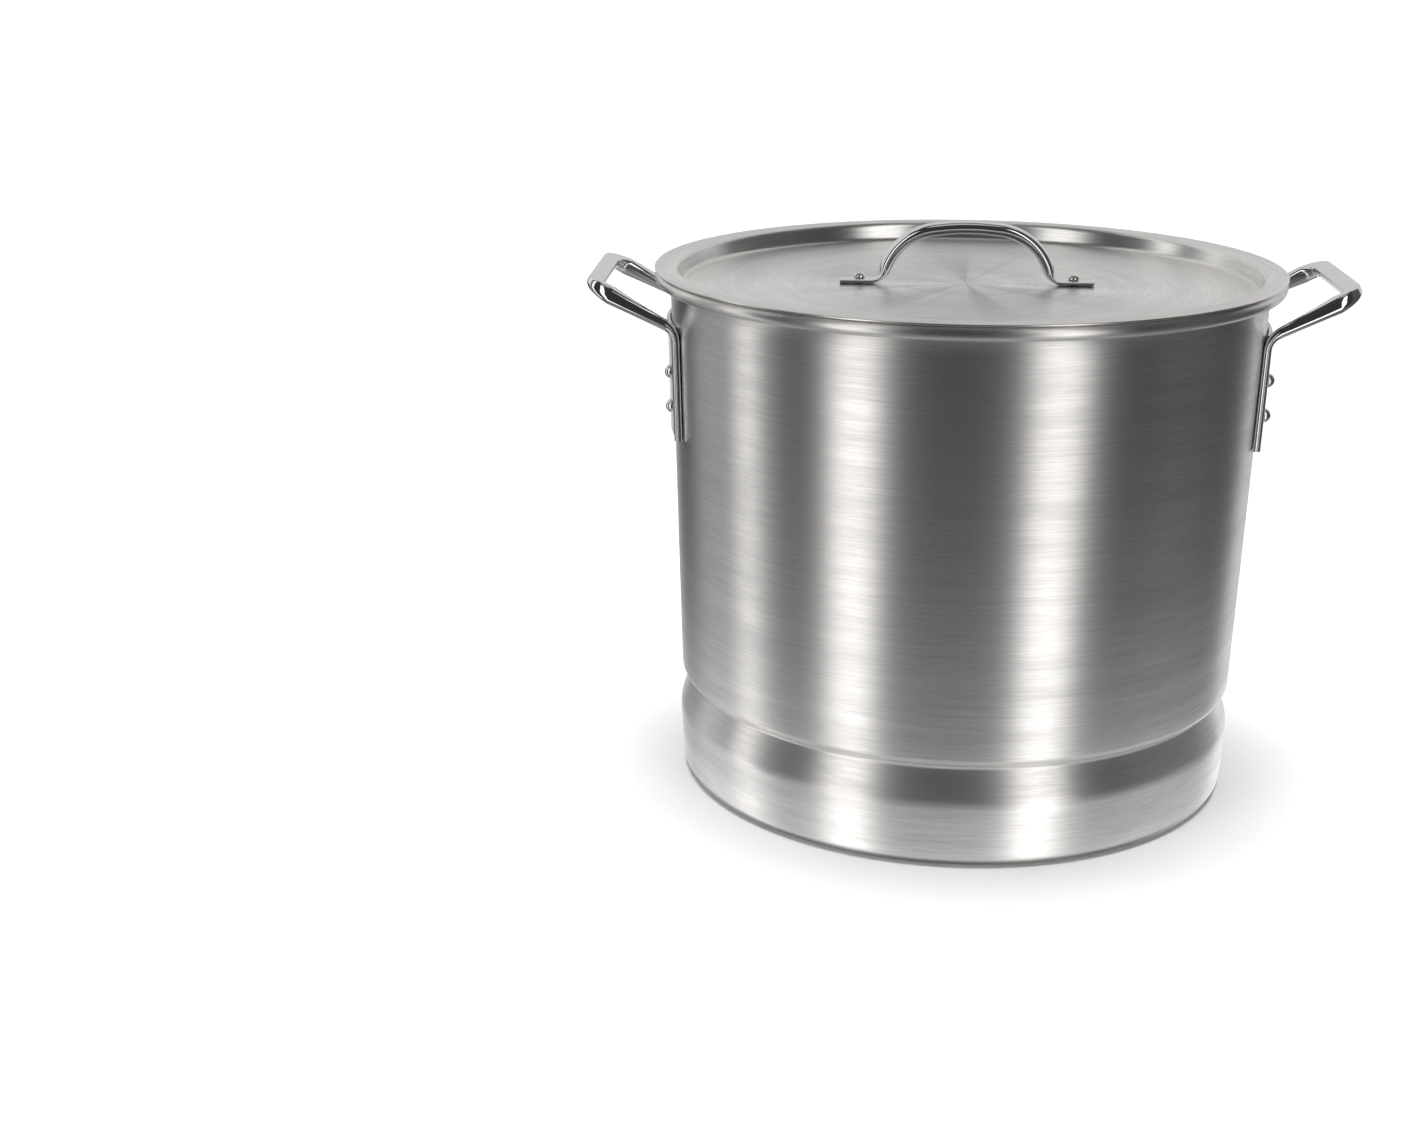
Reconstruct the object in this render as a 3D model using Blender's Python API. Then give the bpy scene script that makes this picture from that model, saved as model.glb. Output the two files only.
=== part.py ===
"""Brew kettle: a spun aluminium stock pot with a lid and a perforated steamer plate.

Metres, +Z up.  The origin is the middle of the flat underside.  The two side handles stand on
the X axis.  The lid rests on the rolled rim, and the steamer plate on the step near the bottom.
"""
import math

import bmesh
import bpy
from mathutils import Matrix, Vector

# ---- driving dimensions ---------------------------------------------------------------------
RIM_RADIUS = 0.2150          # outside of the rolled rim
RIM_TOP = 0.3615             # height of the empty pot
RIM_ROLL = 0.0047            # radius of the rolled edge
RIM_THROAT = 0.0032          # radius that eases the wall into the rim's flat top
SHEET = 0.0018               # pot wall
WALL_HEAD = (0.2042, 0.3490)     # outside of the wall just below the rim (radius, height)
WALL_FOOT = (0.1965, 0.0722)     # where the wall would meet the sloping shoulder
GROOVE = (0.1895, 0.0694)        # bottom of the groove that makes the inner ledge
BAND_EDGE = (0.1976, 0.0450)     # top of the band below the groove
BASE_EDGE = (0.1956, 0.0000)
PROFILE_ROUNDING = (0.0090, 0.0012, 0.0060, 0.0130)
SEAM_LOW = 0.0860                # the one sheet is made as base, wall and rim, and these
SEAM_HIGH = 0.3400               # are the heights at which they meet

LID_SHEET = 0.0014
LID_RADIUS = 0.2153          # outside of the lid's flange
LID_RECESS_RADIUS = 0.2008   # outside of the recess, which drops into the pot's mouth
LID_RECESS_DEPTH = 0.0130
LID_RECESS_TAPER = 0.0030    # how much narrower the recess is at its floor
LID_ROUNDING = (0.0030, 0.0050)

PLATE_SHEET = 0.0014
PLATE_RADIUS = 0.1934        # outside of the plate's flange
PLATE_FLANGE = 0.0060        # width of the flange
PLATE_STEP = 0.0045          # width of the slope between flange and disc
PLATE_DROP = 0.0065          # how far the perforated disc lies below the flange
PLATE_REST = 0.0747          # underside of the flange, on the ledge inside the groove
PLATE_ROUNDING = (0.0020, 0.0020)
PLATE_FLAT = 0.95            # the even part of the disc, as a share of its radius
STEAM_HOLE_RADIUS = 0.0065
FINGER_HOLE_RADIUS = 0.0105
HOLE_RINGS = (0.195, 0.345, 0.52, 0.63, 0.70)    # shares of the plate's radius, from the middle out

HANDLE_FOOT = 0.2500         # lower end of the handle's legs
HANDLE_BEND = 0.3262         # height at which the legs turn out into the arms
LEG_SPREAD = 0.0605          # middle of a leg from the handle's middle
LEG_SIZE = (0.0084, 0.0050)  # width and thickness of a leg
GRIP_SPREAD = 0.0560         # the arms draw together a little towards the grip
GRIP_REACH = 0.2526          # distance of the grip's middle from the pot's axis
GRIP_HEIGHT = 0.3552
ARM_SIZE = (0.0114, 0.0130)
GRIP_SIZE = (0.0118, 0.0100)
BEND_RADIUS = 0.0130
GRIP_CORNER = 0.0150
BACKPLATE = 0.0027           # thickness of the plate that lies on the wall
BACKPLATE_TOP = 0.3240
LIP_SIZE = (0.0080, 0.0036)  # rolled upper edge of the backplate
FLAT_BACK = 4.0              # how flat the back of a bar is; 2 is round
BACK_EASE = 1.4              # how much rounder the back is along the handle's arms

SHANK_RADIUS = 0.0030
HEAD_RADIUS = 0.0050
HEAD_HEIGHT = 0.0052
INNER_HEAD_HEIGHT = 0.0014
RIVET_HEIGHTS = (0.2720, 0.2960)

LID_HANDLE_TIP = 0.0870      # tip of a foot from the middle of the lid
LID_HANDLE_KNEE = 0.0590     # where the arch rises from the foot
LID_HANDLE_SHOULDER = 0.0465  # where the arch turns level
LID_HANDLE_HEIGHT = 0.0440   # top of the arch above the lid's disc
LID_HANDLE_CAMBER = 0.0050   # rise of the arch's crown above its shoulders
LID_FOOT_SIZE = (0.0150, 0.0030)
LID_ROD_SIZE = (0.0130, 0.0086)
LID_HANDLE_ROUNDING = (0.0090, 0.0400, 0.1500, 0.0400, 0.0090)
LID_RIVET_PLACE = 0.0735
LID_SHANK_RADIUS = 0.0022
LID_HEAD_RADIUS = 0.0040
LID_HEAD_HEIGHT = 0.0034
LID_INNER_HEAD = 0.0010

GAP = 0.0003                 # air left between pieces that rest on each other
SEGMENTS = 64                # facets of the large turned pieces
FACET = 2 * math.pi / SEGMENTS
BACKPLATE_FACETS = 3         # facets of the wall that the backplate covers on each side
RIVET_ANGLE = 2.5 * FACET    # the rivets stand square in the middle of a wall facet
RIVET_SEGMENTS = 10
DOME_ANGLES = (25, 50, 75)   # degrees up a rivet's dome
HOLE_SEGMENTS = 10
PROFILE_STEPS = 3            # steps in each rounded corner of a sheet
PLATE_STEPS = 2
THROAT_STEPS = 2
ROLL_STEPS = 7
ROLL_END = -120              # degrees, where the rolled edge curls in under itself
BAR_POINTS = 12              # points round a handle's section
BAR_STEPS = 5                # steps in each bend of a handle
SHARP_ANGLE = math.radians(35)
TOOL_REACH = 0.0200          # how far a hole's cutter stands out of the sheet it cuts

FINISHES = {                 # colour and roughness, all of them metal
    "pot": ((0.60, 0.59, 0.57, 1.0), 0.34),
    "lid": ((0.66, 0.65, 0.64, 1.0), 0.30),
    "plate": ((0.70, 0.69, 0.67, 1.0), 0.38),
    "chrome": ((0.72, 0.72, 0.73, 1.0), 0.08),
    "rivet": ((0.76, 0.75, 0.73, 1.0), 0.20),
}


# ---- scene and objects ----------------------------------------------------------------------
def clear_scene():
    """Remove whatever the scene holds."""
    for thing in list(bpy.data.objects):
        bpy.data.objects.remove(thing, do_unlink=True)


def add_object(name, bm, finish=None):
    """Turn a bmesh into a named, smooth-shaded object with a metal of its own."""
    bmesh.ops.recalc_face_normals(bm, faces=bm.faces)
    mesh = bpy.data.meshes.new(name)
    bm.to_mesh(mesh)
    bm.free()
    mesh.shade_smooth()
    mesh.set_sharp_from_angle(angle=SHARP_ANGLE)
    thing = bpy.data.objects.new(name, mesh)
    bpy.context.collection.objects.link(thing)
    if finish:
        mesh.materials.append(metal(name, *FINISHES[finish]))
    return thing


def metal(name, colour, roughness):
    """A plain metal."""
    material = bpy.data.materials.new(name)
    material.use_nodes = True
    shader = material.node_tree.nodes["Principled BSDF"]
    shader.inputs["Base Color"].default_value = colour
    shader.inputs["Metallic"].default_value = 1.0
    shader.inputs["Roughness"].default_value = roughness
    return material


def boolean(thing, tool, operation):
    """Add an exact Boolean whose tool stays hidden."""
    tool.hide_render = True
    tool.display_type = "WIRE"
    step = thing.modifiers.new(operation.lower(), "BOOLEAN")
    step.operation = operation
    step.solver = "EXACT"
    step.object = tool


# ---- profiles and solids --------------------------------------------------------------------
def arc(centre, radius, start, end, steps):
    """Points of an arc in a profile, between two angles in degrees."""
    points = []
    for index in range(steps + 1):
        angle = math.radians(start + (end - start) * index / steps)
        points.append((centre[0] + radius * math.cos(angle), centre[1] + radius * math.sin(angle)))
    return points


def filleted(corners, radii, steps):
    """Points and directions along a path in 3-D whose inner corners are arcs."""
    first, last = corners[0], corners[-1]
    path = [(first, (corners[1] - first).normalized())]
    for before, here, after, radius in zip(corners, corners[1:], corners[2:], radii):
        back = (before - here).normalized()
        ahead = (after - here).normalized()
        half = back.angle(ahead) / 2
        centre = here + (back + ahead).normalized() * (radius / math.sin(half))
        spoke = here + back * (radius / math.tan(half)) - centre
        axis = ahead.cross(back)
        for index in range(steps + 1):
            turn = Matrix.Rotation((math.pi - 2 * half) * index / steps, 3, axis)
            path.append((centre + turn @ spoke, -(turn @ back)))
    path.append((last, (last - corners[-2]).normalized()))
    return path


def rounded_profile(corners, radii, steps=PROFILE_STEPS):
    """A profile (radius, height) whose inner corners are rounded, each to its own radius."""
    spots = [Vector((radius, height, 0.0)) for radius, height in corners]
    return [(point.x, point.y) for point, _ in filleted(spots, radii, steps)]


def offset(points, distance):
    """The same profile moved sideways, to the left of the way it runs."""
    moved = []
    for index, point in enumerate(points):
        before = Vector(points[max(index - 1, 0)])
        after = Vector(points[min(index + 1, len(points) - 1)])
        along = (after - before).normalized()
        moved.append((point[0] - along.y * distance, point[1] + along.x * distance))
    return moved


def turned(profile, segments=SEGMENTS, ring_shaped=False):
    """Turn a profile about Z.

    Its two ends are closed with flat discs or, where it is ring-shaped, joined to each other.
    """
    bm = bmesh.new()
    rings = []
    for radius, height in profile:
        ring = []
        for index in range(segments):
            angle = 2 * math.pi * index / segments
            ring.append(bm.verts.new((radius * math.cos(angle), radius * math.sin(angle), height)))
        rings.append(ring)
    bridge(bm, rings, ring_shaped)
    return bm


def bridge(bm, rings, ring_shaped=False):
    """Join rings of the same size one after another, with a face at each end or end to end."""
    for ring, following in zip(rings, rings[1:] + rings[:1] if ring_shaped else rings[1:]):
        for side in range(len(ring)):
            other = (side + 1) % len(ring)
            bm.faces.new((ring[side], ring[other], following[other], following[side]))
    if not ring_shaped:
        bm.faces.new(rings[0])
        bm.faces.new(rings[-1])


def bar_section(centre, side, front, size, boxiness):
    """Points round a bar: a round front, and a back that is flatter the boxier it is."""
    points = []
    for index in range(BAR_POINTS):
        angle = 2 * math.pi * index / BAR_POINTS
        power = 1.0 if math.sin(angle) >= 0 else 2 / boxiness
        across = math.copysign(abs(math.cos(angle)) ** power, math.cos(angle))
        deep = math.copysign(abs(math.sin(angle)) ** power, math.sin(angle))
        points.append(centre + side * (across * size[0] / 2) + front * (deep * size[1] / 2))
    return points


def bar(sections):
    """A closed bar through a list of bar sections."""
    bm = bmesh.new()
    bridge(bm, [[bm.verts.new(point) for point in section] for section in sections])
    return bm


def mix(first, second, share):
    """A pair of sizes between two others."""
    return tuple(a + (b - a) * share for a, b in zip(first, second))


def polar(radius, angle, height):
    """A point given by its distance from the pot's axis, its direction and its height."""
    return Vector((radius * math.cos(angle), radius * math.sin(angle), height))


# ---- pot ------------------------------------------------------------------------------------
def wall_radius(height):
    """Outside radius of the pot's tapered wall at a height."""
    share = (height - WALL_FOOT[1]) / (WALL_HEAD[1] - WALL_FOOT[1])
    return WALL_FOOT[0] + (WALL_HEAD[0] - WALL_FOOT[0]) * share


WALL_TAPER = math.atan2(WALL_HEAD[0] - WALL_FOOT[0], WALL_HEAD[1] - WALL_FOOT[1])


def wall_point(height):
    """The point of the pot's outer profile at a height of its tapered wall."""
    return (wall_radius(height), height)


def kettle_base():
    """The pot's flat base, band and groove, up to just above the inner ledge."""
    centre_edge = (BASE_EDGE[0] / 2, BASE_EDGE[1])
    corners = (wall_point(SEAM_LOW), WALL_FOOT, GROOVE, BAND_EDGE, BASE_EDGE, centre_edge)
    outside = rounded_profile(corners, PROFILE_ROUNDING)
    inside = offset(outside, -SHEET)
    add_object("kettle_base", turned(inside[::-1] + outside), "pot")


def kettle_wall():
    """The pot's tapered wall, with the holes for the handles' rivets."""
    outside = [wall_point(SEAM_HIGH), wall_point(SEAM_LOW + GAP)]
    inside = offset(outside, -SHEET)
    wall = add_object("kettle_wall", turned(inside[::-1] + outside, ring_shaped=True), "pot")
    boolean(wall, rivet_holes("kettle_rivet_holes"), "DIFFERENCE")


def kettle_rim():
    """The head of the pot's wall, turned out and rolled into the rim."""
    outside = [WALL_HEAD, wall_point(SEAM_HIGH + GAP)]
    inside = offset(outside, -SHEET)
    throat = (WALL_HEAD[0] - SHEET + RIM_THROAT, RIM_TOP - RIM_THROAT)
    roll = (RIM_RADIUS - RIM_ROLL, RIM_TOP - RIM_ROLL)
    rim = arc(throat, RIM_THROAT, 180, 90, THROAT_STEPS) + arc(roll, RIM_ROLL, 90, ROLL_END, ROLL_STEPS)
    add_object("kettle_rim", turned(inside[::-1] + rim + outside, ring_shaped=True), "pot")


def rivet_places():
    """Names, directions and heights of the eight rivets of the side handles."""
    for side, middle in (("right", 0.0), ("left", math.pi)):
        number = 0
        for turn in (-RIVET_ANGLE, RIVET_ANGLE):
            for height in RIVET_HEIGHTS:
                number += 1
                yield f"handle_rivet_{side}_{number}", middle + turn, height


def wall_frame(angle, height):
    """Placing that puts a piece's Z axis square on the wall, with its origin on the wall."""
    flat = wall_radius(height) * math.cos(FACET / 2)
    place = Matrix.Translation(polar(flat, angle, height))
    return place @ Matrix.Rotation(angle, 4, "Z") @ Matrix.Rotation(math.pi / 2 + WALL_TAPER, 4, "Y")


def rivet_holes(name):
    """Cutter for the rivet holes of the wall and of the backplates."""
    holes = bmesh.new()
    for _, angle, height in rivet_places():
        bmesh.ops.create_cone(holes, cap_ends=True, segments=RIVET_SEGMENTS,
                              radius1=SHANK_RADIUS + GAP, radius2=SHANK_RADIUS + GAP,
                              depth=TOOL_REACH, matrix=wall_frame(angle, height))
    return add_object(name, holes)


def rivet(name, shank, head, inner_head, grip, placing, finish):
    """A round-head rivet: grip is how far its shank reaches below and above its origin."""
    below, above = grip
    head_radius, head_height = head
    profile = [(head_radius, -below - inner_head), (head_radius, -below), (shank, -below),
               (shank, above), (head_radius, above)]
    for degrees in DOME_ANGLES:
        angle = math.radians(degrees)
        profile.append((head_radius * math.cos(angle), above + head_height * math.sin(angle)))
    thing = add_object(name, turned(profile, RIVET_SEGMENTS), finish)
    thing.matrix_world = placing


def handle_rivets():
    """Eight rivets through the wall and the backplates."""
    grip = (SHEET + GAP, BACKPLATE + 2 * GAP)
    for name, angle, height in rivet_places():
        rivet(name, SHANK_RADIUS, (HEAD_RADIUS, HEAD_HEIGHT), INNER_HEAD_HEIGHT, grip,
              wall_frame(angle, height), "rivet")


# ---- side handles ---------------------------------------------------------------------------
def handle_loop():
    """The rolled edge of a handle: up one leg, along an arm, the grip and down again."""
    leg_angle = math.asin(LEG_SPREAD / wall_radius(HANDLE_BEND))
    lift = GAP + LEG_SIZE[1] / 2
    foot = polar(wall_radius(HANDLE_FOOT) + lift, -leg_angle, HANDLE_FOOT)
    bend = polar(wall_radius(HANDLE_BEND) + lift, -leg_angle, HANDLE_BEND)
    corner = Vector((GRIP_REACH, -GRIP_SPREAD, GRIP_HEIGHT))
    half = [foot, bend, corner]
    corners = half + [Vector((p.x, -p.y, p.z)) for p in reversed(half)]
    path = filleted(corners, (BEND_RADIUS, GRIP_CORNER, GRIP_CORNER, BEND_RADIUS), BAR_STEPS)
    outward = polar(1.0, -leg_angle, 0.0)
    slope = (corner - bend).normalized()
    under = Vector((slope.z, 0.0, -slope.x)).normalized()
    sections = []
    for point, along in path:
        out_share = min(max((point.x - bend.x) / (2 * BEND_RADIUS), 0.0), 1.0)
        grip_share = min(max((point.x - corner.x + GRIP_CORNER) / GRIP_CORNER, 0.0), 1.0)
        leg_side = Vector((outward.x, math.copysign(outward.y, point.y), 0.0))
        front = leg_side.lerp(under, out_share)
        front = (front - along * front.dot(along)).normalized()
        size = mix(mix(LEG_SIZE, ARM_SIZE, out_share), GRIP_SIZE, grip_share)
        boxiness = FLAT_BACK - BACK_EASE * (out_share - grip_share)
        sections.append(bar_section(point, along.cross(front), front, size, boxiness))
    return bar(sections)


def backplate():
    """The plate between the legs, bent to the facets of the wall."""
    bm = bmesh.new()
    rings = []
    for step in range(-BACKPLATE_FACETS, BACKPLATE_FACETS + 1):
        ring = []
        for height, lift in ((HANDLE_FOOT, 0), (BACKPLATE_TOP, 0), (BACKPLATE_TOP, 1), (HANDLE_FOOT, 1)):
            radius = wall_radius(height) + GAP + lift * BACKPLATE
            ring.append(bm.verts.new(polar(radius, step * FACET, height)))
        rings.append(ring)
    bridge(bm, rings)
    return bm


def backplate_lip():
    """The rolled upper edge of the backplate, between the arms."""
    sections = []
    for step in range(-BACKPLATE_FACETS, BACKPLATE_FACETS + 1):
        outward = polar(1.0, step * FACET, 0.0)
        centre = polar(wall_radius(BACKPLATE_TOP) + 2 * GAP + LIP_SIZE[1] / 2, step * FACET, BACKPLATE_TOP)
        sections.append(bar_section(centre, Vector((0.0, 0.0, 1.0)), outward, LIP_SIZE, FLAT_BACK))
    return bar(sections)


def side_handles():
    """Two riveted steel handles, alike, on opposite sides of the pot."""
    for side, middle in (("right", 0.0), ("left", math.pi)):
        name = f"handle_{side}"
        turn = Matrix.Rotation(middle, 4, "Z")
        shapes = {"": handle_loop(), "_backplate": backplate(), "_lip": backplate_lip()}
        pieces = {}
        for suffix, bm in shapes.items():
            bmesh.ops.transform(bm, matrix=turn, verts=bm.verts)
            pieces[suffix] = add_object(name + suffix, bm, None if suffix else "chrome")
        boolean(pieces[""], pieces["_backplate"], "UNION")
        boolean(pieces[""], pieces["_lip"], "UNION")
        boolean(pieces[""], rivet_holes(name + "_rivet_holes"), "DIFFERENCE")


# ---- lid ------------------------------------------------------------------------------------
LID_SEAT = RIM_TOP + GAP
LID_DISC = LID_SEAT + LID_SHEET - LID_RECESS_DEPTH       # top of the lid's sunken disc


def lid():
    """The lid: a flange on the rim, a recess in the pot's mouth, its handle and rivets."""
    floor = LID_DISC - LID_SHEET
    narrow = LID_RECESS_RADIUS - LID_RECESS_TAPER
    corners = ((LID_RADIUS, LID_SEAT), (LID_RECESS_RADIUS, LID_SEAT), (narrow, floor),
               (narrow / 2, floor))
    under = rounded_profile(corners, LID_ROUNDING)
    over = offset(under, -LID_SHEET)
    pan = add_object("lid_pan", turned(under[::-1] + over), "lid")
    holes = bmesh.new()
    for side in (-1, 1):
        spot = Matrix.Translation((side * LID_RIVET_PLACE, 0.0, LID_DISC))
        bmesh.ops.create_cone(holes, cap_ends=True, segments=RIVET_SEGMENTS,
                              radius1=LID_SHANK_RADIUS + GAP, radius2=LID_SHANK_RADIUS + GAP,
                              depth=TOOL_REACH, matrix=spot)
    cutter = add_object("lid_rivet_holes", holes)
    boolean(pan, cutter, "DIFFERENCE")
    handle = add_object("lid_handle", lid_handle(), "chrome")
    boolean(handle, cutter, "DIFFERENCE")
    for side, where in ((-1, "left"), (1, "right")):
        rivet(f"lid_rivet_{where}", LID_SHANK_RADIUS, (LID_HEAD_RADIUS, LID_HEAD_HEIGHT),
              LID_INNER_HEAD, (LID_SHEET + GAP, LID_FOOT_SIZE[1] + 2 * GAP),
              Matrix.Translation((side * LID_RIVET_PLACE, 0.0, LID_DISC)), "rivet")


def lid_handle():
    """The lid's arched handle: two flat feet and a half-round bow between them."""
    foot_height = LID_DISC + GAP + LID_FOOT_SIZE[1] / 2
    crown = LID_DISC + LID_HANDLE_HEIGHT - LID_ROD_SIZE[1] / 2
    shoulder = crown - LID_HANDLE_CAMBER
    half = [Vector((-LID_HANDLE_TIP, 0.0, foot_height)), Vector((-LID_HANDLE_KNEE, 0.0, foot_height)),
            Vector((-LID_HANDLE_SHOULDER, 0.0, shoulder))]
    middle = Vector((0.0, 0.0, crown))
    corners = half + [middle] + [Vector((-p.x, p.y, p.z)) for p in reversed(half)]
    path = filleted(corners, LID_HANDLE_ROUNDING, BAR_STEPS)
    across = Vector((0.0, 1.0, 0.0))
    sections = []
    for point, along in path:
        share = min(max((point.z - foot_height) / LID_ROD_SIZE[1], 0.0), 1.0)
        size = mix(LID_FOOT_SIZE, LID_ROD_SIZE, share)
        front = along.cross(across).normalized()
        sections.append(bar_section(point, across, front, size, FLAT_BACK))
    return bar(sections)


# ---- steamer plate --------------------------------------------------------------------------
def plate_holes():
    """Place and radius of every hole in the steamer plate.

    A ring of six and a ring of twelve lie round the middle hole, and two of the twelve are the
    finger holes.  Further out, the same six holes repeat every quarter turn.
    """
    inner, finger, pair, lone, outer = HOLE_RINGS
    holes = [(0.0, 0.0)]
    holes += [(inner, 60 * step - 15) for step in range(6)]
    holes += [(finger, 30 * step) for step in range(12) if step not in (2, 8)]
    for quarter in (0, 90, 180, 270):
        holes += [(pair, quarter + turn) for turn in (-9, 9)]
        holes += [(outer, quarter + turn) for turn in (-15, 0, 15)]
        holes.append((lone, quarter + 45))
    for share, angle in holes:
        yield polar(share * PLATE_RADIUS, math.radians(angle), 0.0), STEAM_HOLE_RADIUS
    for angle in (60, 240):
        yield polar(finger * PLATE_RADIUS, math.radians(angle), 0.0), FINGER_HOLE_RADIUS


def steamer_plate():
    """The perforated plate that stands on the ledge inside the groove."""
    inner = PLATE_RADIUS - PLATE_FLANGE
    floor = PLATE_REST - PLATE_DROP
    disc = inner - PLATE_STEP
    corners = ((PLATE_RADIUS, PLATE_REST), (inner, PLATE_REST), (disc, floor), (disc * PLATE_FLAT, floor))
    under = rounded_profile(corners, PLATE_ROUNDING, PLATE_STEPS)
    over = offset(under, -PLATE_SHEET)
    plate = add_object("steamer_plate", turned(under[::-1] + over), "plate")
    holes = bmesh.new()
    for spot, radius in plate_holes():
        place = Matrix.Translation(spot + Vector((0.0, 0.0, floor)))
        bmesh.ops.create_cone(holes, cap_ends=True, segments=HOLE_SEGMENTS, radius1=radius,
                              radius2=radius, depth=TOOL_REACH, matrix=place)
    boolean(plate, add_object("steam_holes", holes), "DIFFERENCE")


def main():
    """Build every piece of the kettle."""
    clear_scene()
    kettle_base()
    kettle_wall()
    kettle_rim()
    side_handles()
    handle_rivets()
    lid()
    steamer_plate()


main()
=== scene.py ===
"""The looks of the brew kettle: spun aluminium, chromed handles, a studio floor and soft light.

Every length is in metres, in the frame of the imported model: +Z up, the origin in the middle of
the pot's underside, and the side handles on the X axis.
"""
import logging
import math
from dataclasses import dataclass
from enum import Enum
from typing import Iterator, Sequence

import bmesh
import bpy
from mathutils import Matrix, Vector


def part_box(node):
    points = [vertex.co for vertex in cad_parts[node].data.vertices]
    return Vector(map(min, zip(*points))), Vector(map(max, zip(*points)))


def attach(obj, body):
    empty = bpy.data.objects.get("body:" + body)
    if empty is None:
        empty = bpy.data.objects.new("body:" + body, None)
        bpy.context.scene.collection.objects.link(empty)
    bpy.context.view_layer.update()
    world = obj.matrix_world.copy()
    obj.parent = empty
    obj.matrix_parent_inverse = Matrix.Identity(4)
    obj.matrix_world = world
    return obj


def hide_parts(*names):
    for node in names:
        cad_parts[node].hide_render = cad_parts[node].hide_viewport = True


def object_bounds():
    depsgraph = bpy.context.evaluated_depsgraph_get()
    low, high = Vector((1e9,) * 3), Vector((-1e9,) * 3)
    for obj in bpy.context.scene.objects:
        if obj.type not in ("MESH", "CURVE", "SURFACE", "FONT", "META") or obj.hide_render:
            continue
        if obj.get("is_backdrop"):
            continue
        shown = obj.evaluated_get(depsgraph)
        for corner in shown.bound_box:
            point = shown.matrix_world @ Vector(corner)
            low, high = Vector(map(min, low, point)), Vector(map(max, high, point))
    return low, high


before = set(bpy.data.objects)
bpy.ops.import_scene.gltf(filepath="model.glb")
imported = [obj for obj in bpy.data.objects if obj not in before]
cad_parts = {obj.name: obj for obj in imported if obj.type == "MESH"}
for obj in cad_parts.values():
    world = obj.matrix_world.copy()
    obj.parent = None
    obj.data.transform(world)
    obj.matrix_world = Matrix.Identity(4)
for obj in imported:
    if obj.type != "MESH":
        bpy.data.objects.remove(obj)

LOG = logging.getLogger("brew_kettle")
CAD_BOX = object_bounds()
SHARP_ANGLE = math.radians(38)
EDGE_ARC = 80.0  # degrees up and down that the rounded edge of a sheet reaches
EDGE_STEPS = 10
GROOVE_WIDTH = 0.24  # of the groove along a bar, as a share of half its thickness
UNIT = (0.0, 1.0)  # the range of a share

Point = tuple[float, float]
Colour = tuple[float, float, float]
Section = list[Vector]
Mesh = bmesh.types.BMesh
Material = bpy.types.Material
Thing = bpy.types.Object
Socket = bpy.types.NodeSocket


class Side(Enum):
    """The two sides of the pot or of the lid; the value is the sign of X."""

    LEFT = -1
    RIGHT = 1

    @property
    def label(self) -> str:
        """The side's name as the frame's nodes spell it."""
        return self.name.lower()

    @property
    def turn(self) -> Matrix:
        """The turn about Z that carries a piece from the right side to this one."""
        return Matrix.Rotation(math.pi if self is Side.LEFT else 0.0, 4, "Z")


class Body(Enum):
    """The rigid bodies that pieces ride on."""

    KETTLE = "kettle"
    PLATE = "steamer_plate"
    LID = "lid"


class Slot(Enum):
    """The record's finishes."""

    POT = "pot_sheet"
    LID = "lid_sheet"
    PLATE = "plate_sheet"
    HANDLE = "handle_steel"
    RIVET = "rivet_metal"


# ---- sums and profiles ----
def mix(first: float, second: float, share: float) -> float:
    """A value between two others."""
    return first + (second - first) * share


def smooth(value: float, low: float, high: float) -> float:
    """A soft step, from 0 at low to 1 at high."""
    share = min(max((value - low) / (high - low), 0.0), 1.0)
    return share * share * (3 - 2 * share)


def polar(radius: float, angle: float, height: float) -> Vector:
    """A point given by its distance from the axis, its direction and its height."""
    return Vector((radius * math.cos(angle), radius * math.sin(angle), height))


def node_box(node: str) -> tuple[Vector, Vector]:
    """Lowest and highest corner of a node of the frame."""
    low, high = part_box(node)
    return Vector(low), Vector(high)


def filleted(corners: Sequence[Vector], radii: Sequence[float],
             steps: int = 16) -> list[tuple[Vector, Vector]]:
    """Round the inner corners of a path.

    Args:
        corners: The path's corners, in order.
        radii: One radius for each inner corner.
        steps: Steps in each arc.

    Returns:
        Points on the path, each with the direction in which the path runs there.
    """
    path = [(corners[0], (corners[1] - corners[0]).normalized())]
    for before, here, after, radius in zip(corners, corners[1:], corners[2:], radii):
        back = (before - here).normalized()
        ahead = (after - here).normalized()
        half = back.angle(ahead) / 2
        centre = here + (back + ahead).normalized() * (radius / math.sin(half))
        spoke = here + back * (radius / math.tan(half)) - centre
        axis = ahead.cross(back)
        for index in range(steps + 1):
            turn = Matrix.Rotation((math.pi - 2 * half) * index / steps, 3, axis)
            path.append((centre + turn @ spoke, -(turn @ back)))
    path.append((corners[-1], (corners[-1] - corners[-2]).normalized()))
    return path


def rounded_profile(corners: Sequence[Point], radii: Sequence[float], steps: int = 9) -> list[Point]:
    """Round the inner corners of a profile of radii and heights, with one radius for each corner."""
    spots = [Vector((radius, height, 0.0)) for radius, height in corners]
    return [(spot.x, spot.y) for spot, _ in filleted(spots, radii, steps)]


def arc(centre: Point, radius: float, start: float, end: float, steps: int) -> list[Point]:
    """Points of an arc in a profile, from a start angle to an end angle in degrees."""
    angles = [math.radians(start + (end - start) * index / steps) for index in range(steps + 1)]
    return [(centre[0] + radius * math.cos(a), centre[1] + radius * math.sin(a)) for a in angles]


def offset(points: Sequence[Point], distance: float) -> list[Point]:
    """Move a profile sideways.

    Args:
        points: The profile, as radius and height.
        distance: How far, to the left of the way the profile runs.

    Returns:
        The moved profile.
    """
    moved = []
    for index, point in enumerate(points):
        before = Vector(points[max(index - 1, 0)])
        after = Vector(points[min(index + 1, len(points) - 1)])
        along = (after - before).normalized()
        moved.append((point[0] - along.y * distance, point[1] + along.x * distance))
    return moved


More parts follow.
